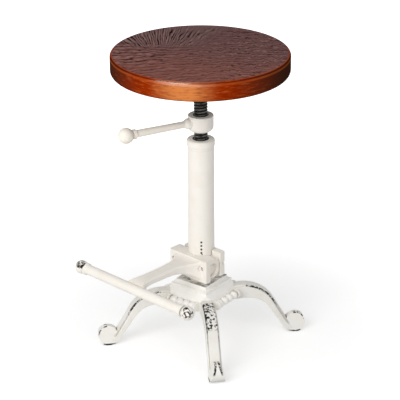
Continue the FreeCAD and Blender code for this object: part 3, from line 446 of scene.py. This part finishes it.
oiled_iron = plain_metal("oiled_iron", tone(26, 26, 25), tone(10, 10, 10), 0.12, 0.1)
dull_zinc = plain_metal("dull_zinc", tone(128, 125, 120), tone(84, 80, 74), 0.4, 0.9)
irons = ["seat_spider", "guide_ring", "thread_nut", "column_plug", "collar_bush"]
zincs = ["seat_screws", "cross_pin", "stop_plate", "stop_bolt", "tie_washer", "tie_bolt", "leg_bolts"]
dress(oiled_iron, *irons)
dress(dull_zinc, *zincs)
print(len(irons), "nodes of oiled iron,", len(zincs), "of dull zinc")

# %% [markdown]
# ## The seat screw's thread
# The solid screw is a plain rod, because a thread would only slow down the CAD checks. On the real stool the
# thread is what one sees. It is made here as a height field wrapped round the rod: a grid in angle and height
# whose radius falls from the crest to the root and back once per lead. Sweeping a profile along a helix would
# do too, but its ends are hard to close, while this grid ends in two plain rings.

# %% The thread's radius
screw_low, screw_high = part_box("seat_screw")
couplings = frame["record"]["behaviour"]["couplings"]
LEAD = math.tau * next(c["ratio"] for c in couplings if c["joint"] == "seat_lift")
CREST, ROOT, SPIGOT = screw_high.x - STOOL_AXIS[0], 12 * MM, 8.5 * MM
THREAD_START = screw_low.z + 24 * MM
ROOT_SHARE, FLANK_SHARE = 0.3, 0.3


def thread_radius(angle, height):
    """The thread's radius: a trapezium wave in height / lead - angle / turn, which climbs one lead with
    each turn to the right, faded out at both ends so that they are plain rings of the root's size."""
    wave = np.abs(2 * np.mod(height / LEAD - angle / math.tau, 1.0) - 1)
    rise = np.clip((wave - ROOT_SHARE) / FLANK_SHARE, 0, 1)
    ends = np.minimum(height - THREAD_START, screw_high.z - height) / (0.5 * LEAD)
    return ROOT + (CREST - ROOT) * rise * np.clip(ends, 0, 1)


print("thread of", round((CREST - ROOT) / MM, 2), "mm depth, lead", round(LEAD / MM, 2), "mm")

# %% [markdown]
# ## From radii to a closed mesh
# A radius for each angle and height is not a mesh yet. Its points come from the polar formula, and its faces
# from a grid of point numbers: each number, the one ahead in its ring, and the same two one ring up. A fan to
# a point on the axis shuts each end. The lathe tool, Spin, would leave a seam to merge, and this grid has
# none.

# %% The thread's mesh
ROWS_PER_LEAD, COLUMNS = 16, 64


def lathe_grid(name, radii, heights, angles):
    """A closed surface about the stool's axis: x and y are the radius times the angle's cosine and sine, z is
    the row's height, and a fan to the axis shuts each end."""
    rows, columns = radii.shape
    x, y, z = radii * np.cos(angles), radii * np.sin(angles), np.broadcast_to(heights, radii.shape)
    tips = np.array([[0, 0, heights[0, 0]], [0, 0, heights[-1, 0]]])
    points = np.concatenate([np.stack([x, y, z], -1).reshape(-1, 3), tips]) + STOOL_AXIS
    index = np.arange(rows * columns).reshape(rows, columns)
    ahead = np.roll(index, -1, axis=1)
    sides = np.stack([index[:-1], ahead[:-1], ahead[1:], index[1:]], -1).reshape(-1, 4)
    tip = np.full(columns, rows * columns)
    foot = np.stack([tip, ahead[0], index[0]], -1)
    head = np.stack([tip + 1, index[-1], ahead[-1]], -1)
    mesh = bpy.data.meshes.new(name)
    mesh.from_pydata(points.tolist(), [], sides.tolist() + foot.tolist() + head.tolist())
    mesh.polygons.foreach_set("use_smooth", np.ones(len(mesh.polygons), bool))
    piece = bpy.data.objects.new(name, mesh)
    bpy.context.scene.collection.objects.link(piece)
    return piece


angles = np.linspace(0, math.tau, COLUMNS, endpoint=False)[None, :]
steps = math.ceil((screw_high.z - THREAD_START) / LEAD * ROWS_PER_LEAD)
climb = np.linspace(THREAD_START, screw_high.z, steps + 1)[:, None]
spigot = np.array([screw_low.z, THREAD_START])[:, None]
heights = np.concatenate([spigot, climb])
radii = np.concatenate([np.full((2, COLUMNS), SPIGOT), thread_radius(angles, climb)])
thread = lathe_grid("seat_screw_thread", radii, heights, angles)
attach(thread, "seat")
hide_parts("seat_screw")
print("thread:", len(thread.data.polygons), "faces")

# %% [markdown]
# ## Pale crests and black roots
# The thread's roots are oiled black, painted darker still as shade in the grooves, and its crests are painted a
# paler grey as a painted highlight, since at this size light alone hardly shows the turns. The distance from the
# stool's axis tells crest from root, so the paler tone follows it, in streaks.

# %% The thread's finish
OIL_AND_SHADE_BLACK, CREST_GLINT_GREY = tone(3, 3, 3), tone(108, 105, 100)
oiled_thread, thread_shader, thread_place = new_finish("oiled_thread")
east, north = thread_place.split()[:2]
crest = ((east * east + north * north) ** 0.5).smooth(ROOT + 0.6 * MM, CREST)
streak = thread_place.noise(90.0, 2.0).smooth(0.25, 0.75)
# painted highlight on the crests, painted shade in the roots
feed(thread_shader, Base_Color=(crest * streak).mix(OIL_AND_SHADE_BLACK, CREST_GLINT_GREY),
     Roughness=0.5 - crest * 0.3, Specular_IOR_Level=0.15)
dress(oiled_thread, thread)
# the crests' paler grey is a painted highlight
print("crests rubbed from radius", round(ROOT / MM + 0.6, 1), "to", round(CREST / MM, 1), "mm")

# %% [markdown]
# ## The seat's straight ripples
# The seat's top is stained over rippled grain, and most ripples run straight across. A stretched noise gives
# blots, not lines, at this scale. So the lines are a sine wave towards the viewer, whose phase a slow noise
# makes wander and a quick one ruffles, most at the right. A third noise breaks the lines off.

# %% Straight ripples
LINES_AT_RIGHT, FEWER_AT_LEFT = 76, 22
wood, wood_shader, wood_place = new_finish("seat_wood")
across, near_side, height = seen_from_camera(wood_place)


def waves(phase):
    """A sine wave that swings between -0.5 and 0.5 once per unit of phase."""
    return phase.math("SINE", phase * math.tau) * 0.5


wobble = wood_place.join(across * 26, near_side * 40).noise(1.0, 2.0)
ruffle = wood_place.join(across * 120, near_side * 60).noise(1.0, 2.0)
breaks = wood_place.join(across * 90, near_side * 70).noise(1.0, 1.0)
lines_per_metre = LINES_AT_RIGHT - across.smooth(60 * MM, -175 * MM) * FEWER_AT_LEFT
ruffled = ruffle * (0.3 + across.smooth(-70 * MM, 60 * MM) * 1.3)
left_part = across.smooth(-40 * MM, -120 * MM) * near_side.smooth(90 * MM, 40 * MM)
strength = 0.45 + left_part * 0.22 + across.smooth(30 * MM, 80 * MM) * 0.1
straight = waves(near_side * lines_per_metre + wobble * 3 + ruffled) * breaks.smooth(0.22, 0.55) * strength
print("ripples", round(1000 / LINES_AT_RIGHT, 1), "mm apart at the right,",
      round(1000 / (LINES_AT_RIGHT - FEWER_AT_LEFT), 1), "mm at the left")

# %% [markdown]
# ## The fan round the knot
# At the back the ripples spread like a fan from a point left of the middle, as grain does round a knot.
# Straight lines bent by noise never meet in one point. The same wave in the angle about that point does it,
# with the distance from it squeezed so that the rays open wide.

# %% Fan of ripples
KNOT_ACROSS, KNOT_NEAR, FAN_SQUEEZE, FAN_STEP = -78 * MM, 92 * MM, 0.32, 0.075
ray_across, ray_back = across - KNOT_ACROSS, (KNOT_NEAR - near_side) * FAN_SQUEEZE
ray_angle = across.math("ARCTAN2", ray_across, ray_back)
ray_length = (ray_across * ray_across + ray_back * ray_back) ** 0.5
bend = wood_place.join(ray_angle * 7, ray_length * 45).noise(1.0, 2.0)
strokes = wood_place.join(ray_angle * 16, ray_length * 75).noise(1.0, 1.0)
fan = waves(ray_angle / FAN_STEP + bend * 2.5) * (0.24 + strokes.smooth(0.35, 0.7) * 0.72)
fan = fan * (0.4 + near_side.smooth(-165 * MM, -120 * MM) * 0.6) * (1.3 - across.smooth(-90 * MM, 0) * 0.5)
fan_edge = (near_side + (wobble - 0.5) * 100 * MM).smooth(-20 * MM, -65 * MM)
in_fan = abs(ray_angle).smooth(1.2, 0.85) * fan_edge
ripple = straight * (1 - in_fan) + fan * in_fan
print("rays", round(math.degrees(FAN_STEP), 1), "degrees apart")

# %% [markdown]
# ## The stain on the top, with painted sheen and highlights
# Dark stain sits in the hollows, and the ridges are painted paler: a painted highlight of gloss on them. The stain
# is redder towards the viewer, and the greyer tone at the back and in the fan is a painted sheen of the sky. One
# mask made both the ripples and their colours, so the two can't slide apart, as two separate noises would.

# %% Top colour
STAIN_AND_SHEEN_BACK, STAIN_FRONT, STAIN_AND_SHEEN_FAN = tone(109, 78, 76), tone(129, 83, 75), tone(113, 90, 88)
HOLLOW, RIDGE_HIGHLIGHT = tone(34, 18, 18), tone(158, 122, 118)
to_front = (near_side + (wobble - 0.5) * 90 * MM - across * 0.3).smooth(-60 * MM, 130 * MM)
# painted sheen: the back and the fan are greyer, as if the sky were reflected there
top_colour = to_front.mix(STAIN_AND_SHEEN_BACK, STAIN_FRONT)
top_colour = (in_fan * 0.7).mix(top_colour, STAIN_AND_SHEEN_FAN)
top_colour = ripple.smooth(-0.02, -0.42).mix(top_colour, HOLLOW)
# painted highlight: the ripples' ridges turn paler, as gloss on them would
top_colour = (ripple.smooth(0.02, 0.42) * 0.7).mix(top_colour, RIDGE_HIGHLIGHT)
# on the ridges the red is that of the painted highlight
print("stain's red runs from", round(HOLLOW[0], 3), "in the hollows to", round(RIDGE_HIGHLIGHT[0], 3), "on the ridges")

# %% [markdown]
# ## The seat's rim
# The rim is deep amber with layers along it, painted a paler amber in a band left of the middle as a painted
# highlight of the lamp, and goes dark at both sides, where the end grain drinks more stain. Under its edge run a
# paler band and a dark line. A ring of its own for the rim would show a joint that the real seat hasn't, so depth
# below the top tells the rim from the top.

# %% Rim colour
seat_low, seat_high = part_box("seat_disc")
SEAT_RADIUS = (seat_high.x - seat_low.x) / 2
DEEP_AMBER, HIGHLIT_AMBER = tone(142, 41, 2), tone(206, 124, 67)
DARK_LAYER, PALE_LAYER, END_GRAIN = tone(96, 25, 2), tone(216, 128, 64), tone(58, 32, 22)
SHOULDER_TONE, UNDER_EDGE_DARK, EDGE_TONE = tone(204, 96, 40), tone(84, 26, 8), tone(166, 70, 34)
RAW_UNDERSIDE = tone(92, 66, 50)

depth = seat_high.z - height
round_angle = across.math("ARCTAN2", near_side, across)
layer = wood_place.join(round_angle * 8, height * 260).noise(1.0, 3.0, 0.6)
side = across / SEAT_RADIUS + (wood_place.noise(22.0, 3.0, 0.5) - 0.5) * 0.15
# painted highlight: the rim is painted paler in a band just left of the middle, where the lamp gleams on it
rubbed = abs(side + 0.17).smooth(0.4, 0.03)
rim_colour = rubbed.mix(DEEP_AMBER, HIGHLIT_AMBER)
rim_colour = (layer.smooth(0.5, 0.3) * 0.45).mix(rim_colour, DARK_LAYER)
rim_colour = (layer.smooth(0.5, 0.68) * (0.3 + rubbed * 0.35)).mix(rim_colour, PALE_LAYER)
rim_colour = (side.smooth(0.2, 0.95) | side.smooth(-0.55, -1.05)).mix(rim_colour, END_GRAIN)
rim_colour = (depth.near(6 * MM, 3 * MM) * 0.3).mix(rim_colour, SHOULDER_TONE)
rim_colour = (depth.near(3 * MM, 1.4 * MM) * 0.6).mix(rim_colour, UNDER_EDGE_DARK)
rim_colour = depth.smooth(1.6 * MM, 0.9 * MM).mix(rim_colour, EDGE_TONE)
rim_colour = depth.smooth(38 * MM, 40 * MM).mix(rim_colour, RAW_UNDERSIDE)
print("seat", round(2 * SEAT_RADIUS / MM), "mm across,", round((seat_high.z - seat_low.z) / MM), "mm thick")

# %% [markdown]
# ## Wax on the wood
# The top is dull, and the rim's shoulder is waxed: there the lamp shows as a soft gleam. Gloss on the whole seat
# would wash its colours out, so a coat covers the shoulder alone, in the same band left of the middle where the
# rim's colour is painted paler as a highlight. The ripples are shallow, a fraction of a millimetre, so a bump is
# enough for them. It also leans the shoulder in a little further than the solid's own rounding does, so that the
# gleam is as broad as the photograph's.

# %% Seat finish
SHOULDER, RIPPLE_HEIGHT = 10 * MM, 0.4 * MM
rim = depth.smooth(0.25 * MM, 0.6 * MM)
inset = ((SHOULDER - depth) | 0.0) ** 2 / (2 * SHOULDER)
relief = ripple * (1 - rim) * RIPPLE_HEIGHT - inset
wood_bump = wood_place.node("Bump", None, {"Strength": 1.0, "Distance": 1.0, "Height": relief})
feed(wood_shader, Base_Color=rim.mix(top_colour, rim_colour), Roughness=0.5 + ripple * 0.2, Normal=wood_bump,
     Coat_Weight=rim * rubbed * depth.smooth(11 * MM, 7 * MM), Coat_Roughness=0.1, Coat_IOR=1.8,
     Specular_IOR_Level=0.0)
dress(wood, "seat_disc")
print("seat's finish has", len(wood.node_tree.nodes), "nodes")

# %% [markdown]
# ## The paper floor
# The stool stands on white paper that takes its shadow. Lamps strong enough to whiten the paper would bleach the
# stool too. So the paper is a pale grey that glows, more with the distance from the stool, and only for rays that
# come from the camera or by way of a gloss. The weaker glow near the stool is a painted shade round it, on top of
# its real shadow. The glow puts no light on the stool.

# %% Floor
FLOOR_HALF, FLOOR_DROP = 30.0, 0.4 * MM
GLOW_START, GLOW_FULL = 0.25, 1.0
PAPER, NO_GLOW = tone(224, 224, 224), tone(0, 0, 0)
SHADED_NEAR_GLOW, FAR_GLOW = tone(172, 172, 172), tone(255, 255, 255)


def flat_square(name, half, height):
    """A square in the plane z = height, reaching half to each side of the stool's axis."""
    corners = np.array([[-1, -1, 0], [1, -1, 0], [1, 1, 0], [-1, 1, 0]]) * half
    mesh = bpy.data.meshes.new(name)
    mesh.from_pydata((corners + STOOL_AXIS + [0, 0, height]).tolist(), [], [(0, 1, 2, 3)])
    piece = bpy.data.objects.new(name, mesh)
    bpy.context.scene.collection.objects.link(piece)
    return piece


floor = flat_square("floor", FLOOR_HALF, -FLOOR_DROP)
paper, paper_shader, paper_place = new_finish("paper")
rays = ["Is Camera Ray", "Is Glossy Ray", "Is Transmission Ray"]
camera_ray, glossy_ray, through_ray = (paper_place.node("LightPath", output=ray) for ray in rays)
seen = camera_ray | glossy_ray | through_ray
from_stool = paper_place.node("VectorMath", {"operation": "LENGTH"}, {0: paper_place}, 1)
# painted shade: the glow is weaker near the stool
glow = from_stool.smooth(GLOW_START, GLOW_FULL).mix(SHADED_NEAR_GLOW, FAR_GLOW)
feed(paper_shader, Base_Color=PAPER, Roughness=1.0, Specular_IOR_Level=0.0,
     Emission_Color=seen.mix(NO_GLOW, glow), Emission_Strength=1.0)
dress(paper, floor)
print("floor", round(2 * FLOOR_HALF), "m across, white from", GLOW_FULL, "m off the axis")

# %% [markdown]
# ## Lamps and sky
# The photograph's light is a large soft box in front, a weaker one at the right, and white walls all round.
# Two area lamps and a plain world give that. A sky texture would tint the paint, and a sun would draw hard
# shadows that the photograph hasn't.

# %% Lamps and sky
LAMP_DISTANCE, LAMP_SIZE, AIM_HEIGHT, SKY_STRENGTH = 2.6, 1.8, 0.35, 0.51


def soft_box(name, azimuth, elevation, power):
    """A square area lamp that faces the middle of the stool from a direction in degrees."""
    data = bpy.data.lights.new(name, "AREA")
    data.size, data.energy = LAMP_SIZE, power
    lamp = bpy.data.objects.new(name, data)
    bpy.context.scene.collection.objects.link(lamp)
    a, e = math.radians(azimuth), math.radians(elevation)
    back = Vector((math.sin(a) * math.cos(e), -math.cos(a) * math.cos(e), math.sin(e)))
    lamp.location = Vector(STOOL_AXIS.tolist()) + Vector((0, 0, AIM_HEIGHT)) + back * LAMP_DISTANCE
    lamp.rotation_mode = "QUATERNION"
    lamp.rotation_quaternion = (-back).to_track_quat("-Z", "Y")
    return lamp


lamps = [soft_box("key", 0, 27, 40), soft_box("fill", 75, 26, 9)]
world = bpy.data.worlds.new("studio")
world.use_nodes = True
sky = world.node_tree.nodes["Background"]
sky.inputs["Color"].default_value = (1, 1, 1, 1)
sky.inputs["Strength"].default_value = SKY_STRENGTH
bpy.context.scene.world = world
bpy.context.scene.view_settings.view_transform = "Standard"
print("lamps:", [(lamp.name, lamp.data.energy) for lamp in lamps], "sky", SKY_STRENGTH)

# %% [markdown]
